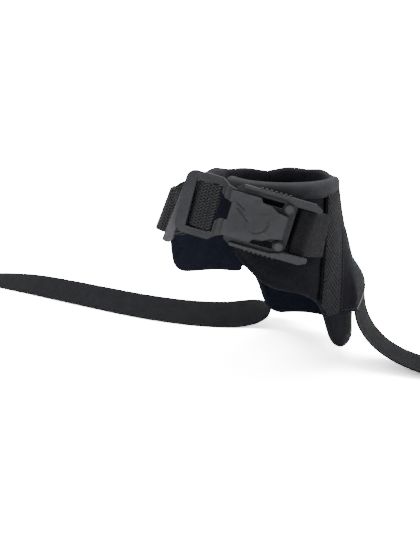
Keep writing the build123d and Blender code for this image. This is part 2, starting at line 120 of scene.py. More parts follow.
def feed(tree, socket, value):
    """Set a socket to a plain value, or join another socket to it."""
    if isinstance(value, bpy.types.NodeSocket):
        tree.links.new(value, socket)
    else:
        socket.default_value = value


def seen_or_lit(tree, lit, seen):
    """A number that is one thing to the camera's own rays and another to all other rays."""
    choice = tree.nodes.new("ShaderNodeMix")
    feed(tree, choice.inputs[0], tree.nodes.new("ShaderNodeLightPath").outputs["Is Camera Ray"])
    feed(tree, choice.inputs[2], lit)
    feed(tree, choice.inputs[3], seen)
    return choice.outputs[0]


def make_sky():
    world = bpy.data.worlds.new("studio")
    world.use_nodes = True
    tree = world.node_tree
    background = tree.nodes["Background"]
    background.inputs["Color"].default_value = (1, 1, 1, 1)
    split = tree.nodes.new("ShaderNodeSeparateXYZ")
    feed(tree, split.inputs[0], tree.nodes.new("ShaderNodeTexCoord").outputs["Generated"])
    height = tree.nodes.new("ShaderNodeMapRange")
    height.inputs["To Min"].default_value = SKY_SIDES
    height.inputs["To Max"].default_value = SKY_TOP
    feed(tree, height.inputs["Value"], split.outputs[2])
    feed(tree, background.inputs["Strength"], seen_or_lit(tree, height.outputs[0], SKY_SEEN))
    bpy.context.scene.world = world


def floor_paint():
    material = bpy.data.materials.new("floor_paint")
    material.use_nodes = True
    tree = material.node_tree
    tree.nodes.remove(tree.nodes["Principled BSDF"])
    distance = tree.nodes.new("ShaderNodeVectorMath")
    distance.operation = "LENGTH"
    feed(tree, distance.inputs[0], tree.nodes.new("ShaderNodeTexCoord").outputs["Object"])
    gain = tree.nodes.new("ShaderNodeMapRange")
    gain.interpolation_type = "SMOOTHSTEP"
    gain.inputs["From Min"].default_value = FLOOR_NEAR
    gain.inputs["From Max"].default_value = FLOOR_FAR
    gain.inputs["To Min"].default_value = FLOOR_SEEN_NEAR
    gain.inputs["To Max"].default_value = FLOOR_SEEN_FAR
    feed(tree, gain.inputs["Value"], distance.outputs["Value"])
    paint = tree.nodes.new("ShaderNodeBsdfDiffuse")
    feed(tree, paint.inputs["Color"], seen_or_lit(tree, FLOOR_REFLECTS, gain.outputs[0]))
    feed(tree, tree.nodes["Material Output"].inputs["Surface"], paint.outputs[0])
    return material


def make_floor():
    mesh = bpy.data.meshes.new("floor")
    half = FLOOR_HALF
    corners = [(x, y, FLOOR_Z * MM) for x, y in ((-half, -half), (half, -half), (half, half), (-half, half))]
    mesh.from_pydata(corners, [], [(0, 1, 2, 3)])
    mesh.materials.append(floor_paint())
    placed("floor", mesh)


# ---------------- materials
class Paint:
    """A node material built up by small steps; pattern coordinates are in millimetres."""

    def __init__(self, name):
        self.material = bpy.data.materials.new(name)
        self.material.use_nodes = True
        self.tree = self.material.node_tree
        self.shader = self.tree.nodes["Principled BSDF"]

    def node(self, kind, **inputs):
        made = self.tree.nodes.new(kind)
        for key, value in inputs.items():
            feed(self.tree, made.inputs[key.replace("_", " ")], value)
        return made

    def math(self, operation, a, b=0.0):
        made = self.node("ShaderNodeMath")
        made.operation = operation
        feed(self.tree, made.inputs[0], a)
        feed(self.tree, made.inputs[1], b)
        return made.outputs[0]

    def wave(self, coordinate, pitch):
        return self.math("SINE", self.math("MULTIPLY", coordinate, math.pi / pitch))

    def attribute(self, name, output):
        made = self.node("ShaderNodeAttribute")
        made.attribute_name = name
        return made.outputs[output]

    def weave_coordinates(self):
        vector = self.attribute("weave", "Vector")
        split = self.node("ShaderNodeSeparateXYZ", Vector=vector)
        return vector, split.outputs[0], split.outputs[1]

    def body_coordinates(self):
        scaled = self.node("ShaderNodeVectorMath")
        scaled.operation = "SCALE"
        feed(self.tree, scaled.inputs[0], self.node("ShaderNodeTexCoord").outputs["Object"])
        scaled.inputs["Scale"].default_value = 1 / MM
        return scaled.outputs[0]

    def noise(self, vector, size, detail=3.0):
        return self.node("ShaderNodeTexNoise", Vector=vector, Scale=1 / size, Detail=detail).outputs[0]

    def ramp(self, fac, dark, light, low=0.3, high=0.7):
        made = self.node("ShaderNodeValToRGB", Fac=fac)
        for element, colour, place in zip(made.color_ramp.elements, (dark, light), (low, high)):
            element.color = (*colour, 1)
            element.position = place
        return made.outputs[0]

    def level(self, fac, low, high):
        return self.node("ShaderNodeMapRange", Value=fac, To_Min=low, To_Max=high).outputs[0]

    def mix(self, fac, a, b):
        made = self.node("ShaderNodeMix")
        made.data_type = "RGBA"
        feed(self.tree, made.inputs[0], fac)
        feed(self.tree, made.inputs[6], a)
        feed(self.tree, made.inputs[7], b)
        return made.outputs[2]

    def bump(self, height, depth):
        return self.node("ShaderNodeBump", Height=height, Distance=depth * MM, Strength=1.0).outputs[0]

    def finish(self, colour, roughness, normal, sheen=0.0, gloss=0.5):
        sockets = self.shader.inputs
        feed(self.tree, sockets["Base Color"], colour)
        feed(self.tree, sockets["Roughness"], roughness)
        feed(self.tree, sockets["Normal"], normal)
        sockets["Specular IOR Level"].default_value = gloss
        sockets["Sheen Weight"].default_value = sheen
        sockets["Sheen Roughness"].default_value = 0.45
        sockets["Sheen Tint"].default_value = (0.6, 0.62, 0.7, 1)
        return self.material


def times(colour, factor):
    return tuple(c * factor for c in colour)


def fabric(name, dark, light, pitch, depth, gloss=0.04, contrast=0.35, inner=None):
    """Woven cloth: crossed threads with painted highlights, fuzz and slow changes of shade; inner is painted
    shade inside.
    """
    p = Paint(name)
    vector, u, v = p.weave_coordinates()
    threads = p.math("MULTIPLY", p.wave(u, pitch[0]), p.wave(v, pitch[1]))
    fuzz = p.noise(vector, 0.5, 4.0)
    slow = p.noise(vector, 14.0)
    shade = p.math("ADD", p.math("MULTIPLY", slow, 0.7), p.math("MULTIPLY", fuzz, 0.3))
    colour = p.ramp(shade, dark, light)
    # painted highlight: the threads' crowns are mixed towards a lighter tone, as much as contrast says
    lit = p.mix(p.level(threads, 0.0, contrast), colour, (*times(light, 2.2), 1))
    if inner:
        # inner is painted shade, mixed in where the mesh's relief attribute says
        lit = p.mix(p.attribute("relief", "Fac"), lit, p.ramp(shade, times(inner, 0.5), inner))
    height = p.math("ADD", threads, p.math("MULTIPLY", fuzz, 0.8))
    return p.finish(lit, p.level(fuzz, 0.75, 0.95), p.bump(height, depth), gloss=gloss)


def herringbone():
    """The ribs are real relief; this adds the threads along them and painted shade in the dark between them.
    """
    p = Paint("strap_webbing")
    vector, u, v = p.weave_coordinates()
    threads = p.math("MULTIPLY", p.wave(u, 0.35), p.wave(v, 0.42))
    fuzz = p.noise(vector, 0.35, 4.0)
    # painted shade: the valleys between the ribs are darkened by the relief attribute
    painted_valley_shade = p.ramp(p.attribute("relief", "Fac"), (0.0004, 0.0004, 0.0007), (0.0200, 0.0204, 0.0226),
                    0.25, 0.9)
    # random worn patches laid over the painted valley shade
    worn = p.mix(p.level(p.noise(vector, 6.0), 0.0, 0.3), painted_valley_shade, (0.006, 0.006, 0.008, 1))
    height = p.math("ADD", threads, fuzz)
    return p.finish(worn, p.level(fuzz, 0.55, 0.85), p.bump(height, 0.08), 0.02, 0.12)


def moulded(name, dark, light, rough):
    """Moulded plastic: fine spark grain, faint flow marks and edges polished by use."""
    p = Paint(name)
    vector = p.body_coordinates()
    fine = p.noise(vector, 0.35, 2.0)
    slow = p.noise(vector, 9.0)
    colour = p.ramp(slow, dark, light)
    pointed = p.node("ShaderNodeNewGeometry").outputs["Pointiness"]
    edge = p.node("ShaderNodeMapRange", Value=pointed, From_Min=0.51, From_Max=0.56, To_Min=0.0, To_Max=0.5)
    worn = p.mix(edge.outputs[0], colour, (*times(light, 2.4), 1))
    roughness = p.math("ADD", p.level(slow, *rough), p.math("MULTIPLY", fine, 0.06))
    return p.finish(worn, roughness, p.bump(fine, 0.02), gloss=0.2)


def metal(name, tone, rough):
    p = Paint(name)
    scratches = p.noise(p.body_coordinates(), 0.6, 4.0)
    colour = p.ramp(scratches, times(tone, 0.75), tone)
    p.shader.inputs["Metallic"].default_value = 1.0
    return p.finish(colour, p.level(scratches, rough * 0.8, rough * 1.3), p.bump(scratches, 0.01))


COVER = fabric("cover_cloth", (0.0014, 0.0014, 0.0022), (0.0034, 0.0034, 0.0048), (0.42, 0.42), 0.06)
LINING = fabric("lining_cloth", (0.0016, 0.0020, 0.0042), (0.0036, 0.0042, 0.0080), (0.30, 0.30), 0.03)
# the binding's inner colour is painted shade for the roll's inside behind the leg
BINDING = fabric("binding_cloth", (0.0070, 0.0070, 0.0084), (0.0135, 0.0135, 0.0152), (0.55, 0.45), 0.12,
                 gloss=0.06, inner=(0.0036, 0.0036, 0.0048))
PIPING = fabric("piping_cloth", (0.0012, 0.0012, 0.0018), (0.0030, 0.0030, 0.0040), (0.4, 0.4), 0.05,
                gloss=0.02)
# contrast sets how strongly the weave's thread crowns are painted lighter, a painted highlight
STRIP = fabric("strip_webbing", (0.0010, 0.0010, 0.0014), (0.0062, 0.0063, 0.0072), (1.9, 2.1), 0.5,
               gloss=0.06, contrast=1.0)
PLAIN = fabric("plain_webbing", (0.0020, 0.0020, 0.0026), (0.0054, 0.0054, 0.0064), (1.1, 0.9), 0.2,
               gloss=0.06, contrast=0.9)
TETHER = fabric("tether_webbing", (0.0020, 0.0021, 0.0026), (0.0042, 0.0043, 0.0051), (0.62, 0.5), 0.16,
                gloss=0.06)
ELASTIC = fabric("keeper_elastic", (0.024, 0.024, 0.026), (0.050, 0.050, 0.054), (0.5, 1.2), 0.16, gloss=0.1)
THREAD = fabric("thread", (0.008, 0.008, 0.010), (0.020, 0.020, 0.024), (0.25, 0.9), 0.1, gloss=0.1)
LOOSE_THREAD = fabric("loose_thread", (0.05, 0.05, 0.055), (0.09, 0.09, 0.10), (0.25, 0.9), 0.1, gloss=0.2)
HERRINGBONE = herringbone()
PLASTIC = moulded("buckle_plastic_dark", (0.0058, 0.0063, 0.0074), (0.0090, 0.0096, 0.0110), (0.38, 0.52))
PLASTIC_DEEP = moulded("lever_plastic", (0.0048, 0.0050, 0.0060), (0.0074, 0.0078, 0.0090), (0.36, 0.5))
STEEL = metal("spring_steel_wire", (0.55, 0.55, 0.56), 0.3)
NICKEL = metal("magnet_nickel", (0.62, 0.61, 0.6), 0.22)
BLACK_BRASS = metal("eyelet_brass", (0.09, 0.08, 0.07), 0.35)


# ---------------- mesh helpers
def spline(xs, ys):
    """Natural cubic through the points, as a function that takes arrays."""
    xs, ys = np.array(xs, float), np.array(ys, float)
    n = len(xs)
    h = np.diff(xs)
    a = np.eye(n)
    b = np.zeros(n)
    for i in range(1, n - 1):
        a[i, i - 1:i + 2] = h[i - 1], 2 * (h[i - 1] + h[i]), h[i]
        b[i] = 6 * ((ys[i + 1] - ys[i]) / h[i] - (ys[i] - ys[i - 1]) / h[i - 1])
    m = np.linalg.solve(a, b)

    def value(x):
        x = np.asarray(x, float)
        i = np.clip(np.searchsorted(xs, x) - 1, 0, n - 2)
        left, right = x - xs[i], xs[i + 1] - x
        return ((m[i] * right ** 3 + m[i + 1] * left ** 3) / (6 * h[i])
                + (ys[i] / h[i] - m[i] * h[i] / 6) * right + (ys[i + 1] / h[i] - m[i + 1] * h[i] / 6) * left)

    return value


def smooth(x):
    x = np.clip(x, 0, 1)
    return x * x * (3 - 2 * x)


def rough_field(points, size, seed=0.0):
    """Smooth noise from -1 to 1 at each point."""
    flat = np.reshape(points, (-1, 3)) / size + seed
    values = np.array([noise.noise(Vector(p)) for p in flat])
    return values.reshape(np.shape(points)[:-1])


# where the soft rim has sagged (or risen): x, y, depth, reach
RIM_DIPS = [(-51, 22, 4.8, 17), (20, 55, 2.4, 12), (-14, 53, 1.0, 11), (-53.5, -38, -3.6, 12)]


def settled(points):
    """The same points with the rim's dips pressed into them."""
    points = np.array(points, float)
    share = smooth((points[:, 2] - 38) / 36)
    for x, y, depth, reach in RIM_DIPS:
        away = (points[:, 0] - x) ** 2 + (points[:, 1] - y) ** 2
        points[:, 2] -= depth * share * np.exp(-away / reach ** 2)
    return points


def mesh_object(name, points, faces, materials, weave, relief=None, face_material=None):
    """A smooth-shaded closed mesh from millimetre points; weave holds the cloth's own coordinates."""
    mesh = bpy.data.meshes.new(name)
    mesh.from_pydata([tuple(p) for p in settled(points) * MM], [], [tuple(f) for f in faces])
    for material in materials:
        mesh.materials.append(material)
    mesh.attributes.new("weave", "FLOAT_VECTOR", "POINT").data.foreach_set(
        "vector", np.asarray(weave, np.float32).ravel())
    if relief is not None:
        mesh.attributes.new("relief", "FLOAT", "POINT").data.foreach_set(
            "value", np.asarray(relief, np.float32).ravel())
    if face_material is not None:
        mesh.polygons.foreach_set("material_index", np.asarray(face_material, np.int32))
    made = placed(name, mesh)
    bm = bmesh.new()
    bm.from_mesh(mesh)
    bmesh.ops.remove_doubles(bm, verts=bm.verts, dist=2e-6)
    bmesh.ops.dissolve_degenerate(bm, edges=bm.edges, dist=1e-7)
    bmesh.ops.recalc_face_normals(bm, faces=bm.faces)
    bm.to_mesh(mesh)
    bm.free()
    mesh.polygons.foreach_set("use_smooth", [True] * len(mesh.polygons))
    return made


def evaluated(piece):
    return piece.evaluated_get(bpy.context.evaluated_depsgraph_get())


def nurbs_line(points):
    """Points read from a smooth spline with these control points."""
    data = bpy.data.curves.new("route", "CURVE")
    data.dimensions = "3D"
    data.resolution_u = 10
    line = data.splines.new("NURBS")
    line.points.add(len(points) - 1)
    for knot, place in zip(line.points, points):
        knot.co = (*place, 1)
    line.order_u = 3
    line.use_endpoint_u = True
    holder = placed("route", data)
    mesh = bpy.data.meshes.new_from_object(evaluated(holder))
    found = np.array([v.co for v in mesh.vertices])
    bpy.data.objects.remove(holder)
    bpy.data.meshes.remove(mesh)
    return found


def apply_modifiers(piece):
    mesh = bpy.data.meshes.new_from_object(evaluated(piece), preserve_all_data_layers=True,
                                           depsgraph=bpy.context.evaluated_depsgraph_get())
    piece.modifiers.clear()
    piece.data = mesh


def subdivide(piece):
    modifier = piece.modifiers.new("subdivision", "SUBSURF")
    modifier.levels = modifier.render_levels = 1
    apply_modifiers(piece)


def vertices_of(piece):
    return np.array([v.co for v in piece.data.vertices])


def lengths_along(line):
    """Distance along a line of points, from 0 at its first point."""
    return np.concatenate([[0], np.cumsum(np.linalg.norm(np.diff(line, axis=0), axis=1))])


def unit(vectors):
    return vectors / np.linalg.norm(vectors, axis=-1, keepdims=True)


def grid_faces(rows, columns, first=0, around=False, across=False):
    """Quads of a grid; around joins the last row to the first, across the last column to the first."""
    quads = []
    for i in range(rows if around else rows - 1):
        for j in range(columns if across else columns - 1):
            a, b = i, (i + 1) % rows
            c, d = j, (j + 1) % columns
            quads.append([first + a * columns + c, first + b * columns + c, first + b * columns + d,
                          first + a * columns + d])
    return quads


def fine_steps(length, step, fine):
    """Positions from 0 to 1 along a length, close together at both ends."""
    inner = np.linspace(fine[-1], length - fine[-1], max(2, int((length - 2 * fine[-1]) / step) + 1))
    return np.concatenate([fine[:-1], inner, [length - f for f in reversed(fine[:-1])]]) / length


# distances from an edge at which padded and thin pieces have their closest grid lines
ROUND_FINE = (0.0, 0.25, 0.9, 1.9, 3.2, 4.6)
THIN_FINE = (0.0, 0.15, 0.5, 1.0)
PUFF_PRESSURE = 4.0
PUFF_FRAMES = 20


def edge_distance(points, sides):
    """Distance of each grid point to the grid's named sides."""
    border = []
    for side in sides:
        line = {"top": points[0], "bottom": points[-1], "first": points[:, 0], "last": points[:, -1]}[side]
        for a, b in zip(line, line[1:]):
            border += [a + (b - a) * k / 6 for k in range(6)]
        border.append(line[-1])
    if not border:
        return np.full(points.shape[:2], 1e3)
    border = np.array(border)
    flat = points.reshape(-1, 3)
    near = np.min(np.linalg.norm(flat[:, None] - border[None], axis=2), axis=1)
    return near.reshape(points.shape[:2])


def rounded_over(distance, radius):
    """How much of its thickness an edge has at a distance from it: a quarter circle from 0 to 1."""
    return np.sqrt(np.clip(1 - (1 - np.clip(distance / radius, 0, 1)) ** 2, 0, 1))


def shell(name, surface, s, t, thickness, middle, free, seams, relief, material, crown=0.0,
          inner_material=None):
    """A closed sheet round surface(s, t, out): free sides are rounded over, seams are drawn in.

    middle is the height of its middle layer over the surface, or a function of the surface's points;
    relief(points, distance to a free side) lifts its outer face.
    """
    grid_s, grid_t = np.meshgrid(s, t)
    core = surface(grid_s, grid_t, np.zeros(grid_s.shape))
    middle = middle(core) if callable(middle) else middle
    near_edge = edge_distance(core, free)
    near_seam = edge_distance(core, seams)
    share = rounded_over(near_edge, thickness / 2)
    drawn = 1 - 0.30 * (1 - smooth(near_seam / 5.0))
    half = thickness / 2 * share * drawn
    swell = crown * smooth(np.minimum(near_edge, near_seam) / 16)
    outer = surface(grid_s, grid_t, middle + half + (swell + relief(core, near_edge)) * share)
    inner = surface(grid_s, grid_t, middle - half)
    rows, columns = grid_s.shape
    count = rows * columns
    faces = grid_faces(rows, columns) + grid_faces(rows, columns, count)
    kinds = [0] * ((rows - 1) * (columns - 1)) + [1 if inner_material else 0] * ((rows - 1) * (columns - 1))
    ring = ([(0, j) for j in range(columns)] + [(i, columns - 1) for i in range(1, rows)]
            + [(rows - 1, j) for j in range(columns - 2, -1, -1)] + [(i, 0) for i in range(rows - 2, 0, -1)])
    for (i, j), (k, l) in zip(ring, ring[1:] + ring[:1]):
        faces.append([i * columns + j, k * columns + l, count + k * columns + l, count + i * columns + j])
        kinds.append(0)
    run = np.cumsum(np.linalg.norm(np.diff(core, axis=1, prepend=core[:, :1]), axis=2), axis=1)
    fall = np.cumsum(np.linalg.norm(np.diff(core, axis=0, prepend=core[:1]), axis=2), axis=0)
    weave = np.stack([run, fall, np.zeros_like(run)], axis=-1).reshape(-1, 3)
    below = weave + (0, 0, thickness)
    points = np.concatenate([outer.reshape(-1, 3), inner.reshape(-1, 3)])
    slots = [material, inner_material] if inner_material else [material]
    return mesh_object(name, points, faces, slots, np.concatenate([weave, below]), face_material=kinds)


def puff(piece, cap, held):
    """A short cloth run that lets the cover swell between its seams, no point by more than cap.

    held(point) says which points stay where they are.
    """
    rest = vertices_of(piece)
    group = piece.vertex_groups.new(name="held")
    group.add([i for i, p in enumerate(rest) if held(p / MM)], 1.0, "REPLACE")
    cloth = piece.modifiers.new("cloth", "CLOTH")
    cloth.settings.use_pressure = True
    cloth.settings.uniform_pressure_force = PUFF_PRESSURE
    cloth.settings.effector_weights.gravity = 0
    cloth.settings.vertex_group_mass = "held"
    cloth.settings.tension_stiffness = cloth.settings.compression_stiffness = 8
    cloth.settings.bending_stiffness = 0.3
    cloth.collision_settings.use_collision = False
    scene = bpy.context.scene
    for number in range(1, PUFF_FRAMES + 1):
        scene.frame_set(number)
    moved = vertices_of(evaluated(piece))
    piece.modifiers.clear()
    piece.vertex_groups.clear()
    step = np.nan_to_num(moved - rest)
    length = np.linalg.norm(step, axis=1, keepdims=True)
    step *= np.minimum(1, cap * MM / np.maximum(length, 1e-9))
    piece.data.vertices.foreach_set("co", (rest + step).astype(np.float32).ravel())
    piece.data.update()
    scene.frame_set(1)


# a stitch swells from its ends: share of its length, share of its radius
STITCH = ((0, 0.15), (0.12, 0.75), (0.35, 1.0), (0.65, 1.0), (0.88, 0.75), (1, 0.15))


def stitches(name, line, radius, length=2.3, gap=0.9):
    """A row of stitches sewn into the cuff along a line of millimetre points."""
    run = lengths_along(line)
    sides, rings = 6, len(STITCH)
    points, faces = [], []
    start = gap
    while start + length < run[-1]:
        tail, head = (np.array([np.interp(d, run, line[:, k]) for k in range(3)])
                      for d in (start, start + length))
        ahead = unit(head - tail)
        side = unit(np.cross(ahead, (0.3, 0.2, 0.93)))
        over = np.cross(side, ahead)
        first = len(points)
        for share, size in STITCH:
            middle = tail + (head - tail) * share
            for k in range(sides):
                turn = math.tau * k / sides
                points.append(middle + (side * math.cos(turn) + over * math.sin(turn)) * radius * size)
        faces += grid_faces(rings, sides, first, across=True)
        faces.append([first + k for k in range(sides)])
        faces.append([first + (rings - 1) * sides + k for k in range(sides)])
        start += length + gap
    piece = mesh_object(name, points, faces, [THREAD], points)
    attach(piece, "cuff")


def tube(name, line, radius, material, sides=10):
    """A round cord on the cuff along a line of millimetre points, with narrowed ends."""
    ahead = unit(np.gradient(line, axis=0))
    side = unit(np.cross(ahead, (0.05, 0.1, 1.0)))
    over = np.cross(side, ahead)
    turn = np.linspace(0, math.tau, sides, endpoint=False)
    size = np.full(len(line), radius)
    size[0] = size[-1] = radius * 0.4
    ring = (side[:, None] * np.cos(turn)[None, :, None] + over[:, None] * np.sin(turn)[None, :, None])
    points = (line[:, None] + ring * size[:, None, None]).reshape(-1, 3)
    faces = grid_faces(len(line), sides, across=True)
    faces.append(list(range(sides)))
    faces.append([len(points) - sides + k for k in range(sides)])
    weave = np.stack([np.repeat(lengths_along(line), sides), np.tile(turn * radius, len(line)),
                      np.zeros(len(points))], axis=-1)
    piece = mesh_object(name, points, faces, [material], weave)
    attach(piece, "cuff")


def band(name, node, centres, across, thickness, material, relief, columns, shear=None):
    """Flat strap webbing in place of a CAD node, along centres with its width along across.

    relief(run, lane) lifts both faces and shear(run, lane) moves points along it, where run is the
    distance along the webbing and lane the distance from its middle line.
    """
    ahead = unit(np.gradient(centres, axis=0))
    across = unit(across - ahead * np.sum(across * ahead, axis=1, keepdims=True))
    face = np.cross(across, ahead)
    run = lengths_along(centres)
    half = thickness / 2
    inset = np.array([0.0, 0.12, 0.4, 0.85])
    lane = np.concatenate([inset, np.linspace(1.4, STRAP_W - 1.4, columns), STRAP_W - inset[::-1]])
    lane -= STRAP_W / 2
    edge = rounded_over(STRAP_W / 2 - np.abs(lane), half)
    grid_run, grid_lane = np.meshgrid(run, lane, indexing="ij")
    lift = relief(grid_run, grid_lane) * edge
    close = np.maximum(rounded_over(np.minimum(run, run[-1] - run), half), math.sqrt(0.03))
    height = (half * edge + lift) * close[:, None]
    place = centres[:, None] + across[:, None] * grid_lane[..., None]
    if shear:
        place = place + ahead[:, None] * shear(grid_run, grid_lane)[..., None]
    top = place + face[:, None] * height[..., None]
    bottom = place - face[:, None] * height[..., None]
    rows, lanes = grid_run.shape
    count = rows * lanes
    faces = grid_faces(rows, lanes) + grid_faces(rows, lanes, count)
    for j in range(lanes - 1):
        for i in (0, rows - 1):
            a = i * lanes + j
            faces.append([a, a + 1, count + a + 1, count + a])
    weave = np.stack([grid_run, grid_lane, np.zeros_like(grid_run)], axis=-1).reshape(-1, 3)
    raised = (lift / lift.max()).ravel()
    points = np.concatenate([top.reshape(-1, 3), bottom.reshape(-1, 3)])
    piece = mesh_object(name, points, faces, [material], np.concatenate([weave, weave + (0, 0, 2)]),
                        np.concatenate([raised, raised]))
    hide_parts(node)
    return piece


# ---------------- the cuff's wall as a surface
centre_y, half_x, half_y = (spline([row[0] for row in SECTIONS], [row[k] for row in SECTIONS])
                            for k in (1, 2, 3))
low_edge = spline(*zip(*LOWER_EDGE))


def wall(angle, z, out=0.0):
    """A point of the wall: angle 0 is at +X and a quarter turn is behind the heel."""
    return np.stack([(half_x(z) + out) * np.cos(angle), centre_y(z) + (half_y(z) + out) * np.sin(angle),
                     z + 0 * angle], axis=-1)


def lower_z(y):
    y = np.asarray(y, float)
    front = 14 - (y + 57) * 6 / 33
    return np.where(y < -57, front, np.where(y > 54, HEEL_Z, low_edge(np.clip(y, -57, 54))))


def right_at(y, z):
    return np.arcsin(np.clip((y - centre_y(z)) / half_y(z), -1, 1))


def left_at(y, z):
    return math.pi - right_at(y, z)


def seam_y(z):
    return HINGE_AT[1] + (z - HINGE_AT[2]) * UP[1] / UP[2]


def panel(first, last, top, low):
    """surface(s, t, out) over the part of the wall between two upright lines and two heights."""
    def surface(s, t, out):
        # the two heights depend on y and y on z, so z is found step by step
        z = np.zeros(np.shape(s))
        for _ in range(40):
            angle = first(z) + (last(z) - first(z)) * s
            y = centre_y(z) + half_y(z) * np.sin(angle)
            z = (z + top(y) + (low(y) - top(y)) * t) / 2
        return wall(angle, z, out)
    return surface


def level_line(z):
    return lambda y: z + 0 * y


flap_front_x = spline((-24, 2, 12, 23, 36, 60, 95), (16, 9, -3, -13, -17, -17, -17))
back_surface = panel(lambda z: right_at(SEAM_Y, z), lambda z: left_at(seam_y(z), z),
                     level_line(RIM_Z), lower_z)
right_surface = panel(lambda z: right_at(SEAM_Y, z), lambda z: -np.arccos(flap_front_x(z) / half_x(z)),
                      level_line(RIM_Z), lower_z)


def topstitched(depth, wrinkle, size=17.0):
    """Relief of a padded cover: slack creases, and a sewn channel that follows the free edge."""
    def relief(core, near_edge):
        creases = rough_field(core * (1, 1, 1.8), size, 3.0) * wrinkle * smooth(near_edge / 8)
        fine = rough_field(core * (1, 1, 2.5), 6.0, 9.0) * wrinkle * 0.25
        channel = -depth * np.exp(-((near_edge - 7.0) / 0.9) ** 2)
        return creases + fine + channel
    return relief


def padding(name, surface, size, step, free, seams, relief, crown, cap, held):
    """A padded part of the wall with its lining inside; size is its greatest width and height."""
    steps = [fine_steps(length, step, ROUND_FINE) for length in size]
    piece = shell(name + "_padding", surface, *steps, WALL_T, -WALL_T / 2, free, seams, relief, COVER,
                  crown, LINING)
    puff(piece, cap, held)
    subdivide(piece)
    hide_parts(name + "_lining", name + "_foam", name + "_cover")
    return piece


def make_pads():
    # the back is held under the rim, the sleeves and the side webbing, and along the heel's edge
    back = padding("back", back_surface, (176, 150), 4.5, ["bottom"], ["first", "last"],
                   topstitched(0.6, 0.8), crown=0.9, cap=1.2,
                   held=lambda p: not (HEEL_Z + 7 <= p[2] <= -60 or 26 <= p[2] <= BINDING_LOW) or p[1] < 56)
    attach(back, "cuff")
    right = padding("right_flap", right_surface, (110, 90), 3.6, ["bottom", "last"], ["first"],
                    topstitched(0.7, 0.9, 13.0), crown=1.0, cap=0.9,
                    held=lambda p: p[2] > BINDING_LOW or p[1] > SEAM_Y - 5)
    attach(right, "cuff")


# ---------------- left flap
# seen from above its outer face is a wide arc from the seam to its rounded nose
LEFT_CENTRE = np.array((239.0, -15.0))
LEFT_R = 295.0
LEFT_GAP = 0.5
LEFT_LOW_Z = -31
NOSE_Y = -94.5


def left_point(y, z, out):
    """A point of the left flap, which meets the wall along the seam."""
    y, z, out = np.broadcast_arrays(y, z, out)
    x = LEFT_CENTRE[0] - np.sqrt(np.clip((LEFT_R + out) ** 2 - (y - LEFT_CENTRE[1]) ** 2, 0, None))
    wall_x = -(half_x(z) + out) * np.sqrt(np.clip(1 - ((y - centre_y(z)) / half_y(z)) ** 2, 0.3, 1))
    return np.stack([x + (wall_x - x) * smooth((y - seam_y(z) + 30) / 30), y, z], axis=-1)


def outline(points):
    """Height against y along a smooth half of an outline."""
    line = nurbs_line([(0, y, z) for y, z in points])
    line = line[np.argsort(line[:, 1])]
    return lambda y: np.interp(y, line[:, 1], line[:, 2])


left_top = outline([(seam_y(76), RIM_Z), (-20, RIM_Z), (-58, 71), (-84, 64), (NOSE_Y, 48), (NOSE_Y, 24)])
left_low = outline([(seam_y(-33), LEFT_LOW_Z), (-30, -28), (-60, -23), (-85, -18), (NOSE_Y, -4),
                    (NOSE_Y, 24)])


def left_surface(s, t, out):
    start = seam_y(RIM_Z + (LEFT_LOW_Z - RIM_Z) * t) - LEFT_GAP
    y = start + (NOSE_Y - start) * s
    z = left_top(y) + (left_low(y) - left_top(y)) * t
    return left_point(y, z, out)


def swing_blend(piece):
    """Bakes the flap piece's placement into its mesh."""
    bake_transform(piece)


def make_left_flap():
    pad = padding("left_flap", left_surface, (105, 90), 3.8, ["bottom", "last"], ["first"],
                  topstitched(0.6, 0.6), crown=0.4, cap=0.5,
                  held=lambda p: p[1] > -2 or p[2] > BINDING_LOW)
    swing_blend(pad)


# ---------------- rolled rim bindings
# section of the roll: outwards from the wall's outer face, and up from the wall's top edge
ROLL = [(0.0, -11.9), (1.1, -11.8), (1.9, -10.6), (2.3, -6.0), (2.0, -1.8), (0.9, 0.8), (-1.2, 2.2),
        (-3.9, 2.7), (-6.6, 2.2), (-8.7, 0.8), (-9.8, -1.8), (-10.1, -6.0), (-9.7, -10.6), (-8.9, -11.8),
        (-7.8, -11.9), (-3.9, -11.4)]


def roll(name, edge, normal, rise, ripple, darker_from):
    """A soft binding wrapped over an edge; ripple(run) lifts its top here and there.

    Shade is painted on the cloth of its inner side behind the leg, where y is more than darker_from.
    """
    run = lengths_along(edge)
    profile = np.array(ROLL)
    centre = np.array((-WALL_T / 2, -4.0))
    ends = np.minimum(run, run[-1] - run)
    size = 1 - 0.06 * (1 - smooth(ends / 1.6))
    local = centre + (profile - centre)[None] * size[:, None, None]
    upper = smooth((profile[:, 1] + 9) / 9)[None]
    lift = ripple(run)[:, None] * upper
    points = (edge[:, None] + normal[:, None] * local[..., :1]
              + rise[:, None] * (local[..., 1] + lift)[..., None])
    pucker = rough_field(points, 5.0, 4.0) * 0.32 + rough_field(points, 14.0, 8.0) * 0.5
    inside = smooth((-3.9 - profile[:, 0]) / 4)[None]
    points = points + normal[:, None] * (pucker * (0.45 + 0.9 * inside))[..., None]
    count, sides = len(edge), len(profile)
    faces = grid_faces(count, sides, across=True)
    faces.append(list(range(sides)))
    faces.append([(count - 1) * sides + k for k in range(sides)])
    # painted shade: how much the roll's inner side behind the leg is darkened, carried as its relief
    # attribute
    inner = np.outer(smooth((edge[:, 1] - darker_from) / 9), smooth((-4.5 - profile[:, 0]) / 3))
    weave = np.stack([np.repeat(run, sides), np.tile(lengths_along(profile), count),
                      np.zeros(count * sides)], axis=-1)
    piece = mesh_object(name, points.reshape(-1, 3), faces, [BINDING], weave, inner.ravel())
    subdivide(piece)
    return piece


def rim_ripple(run):
    waves = 0.55 * np.sin(run / 13.0 + 0.6) + 0.45 * np.sin(run / 7.1 + 2.0) + 0.35 * np.sin(run / 31.0)
    return waves * smooth((run - 95) / 60)


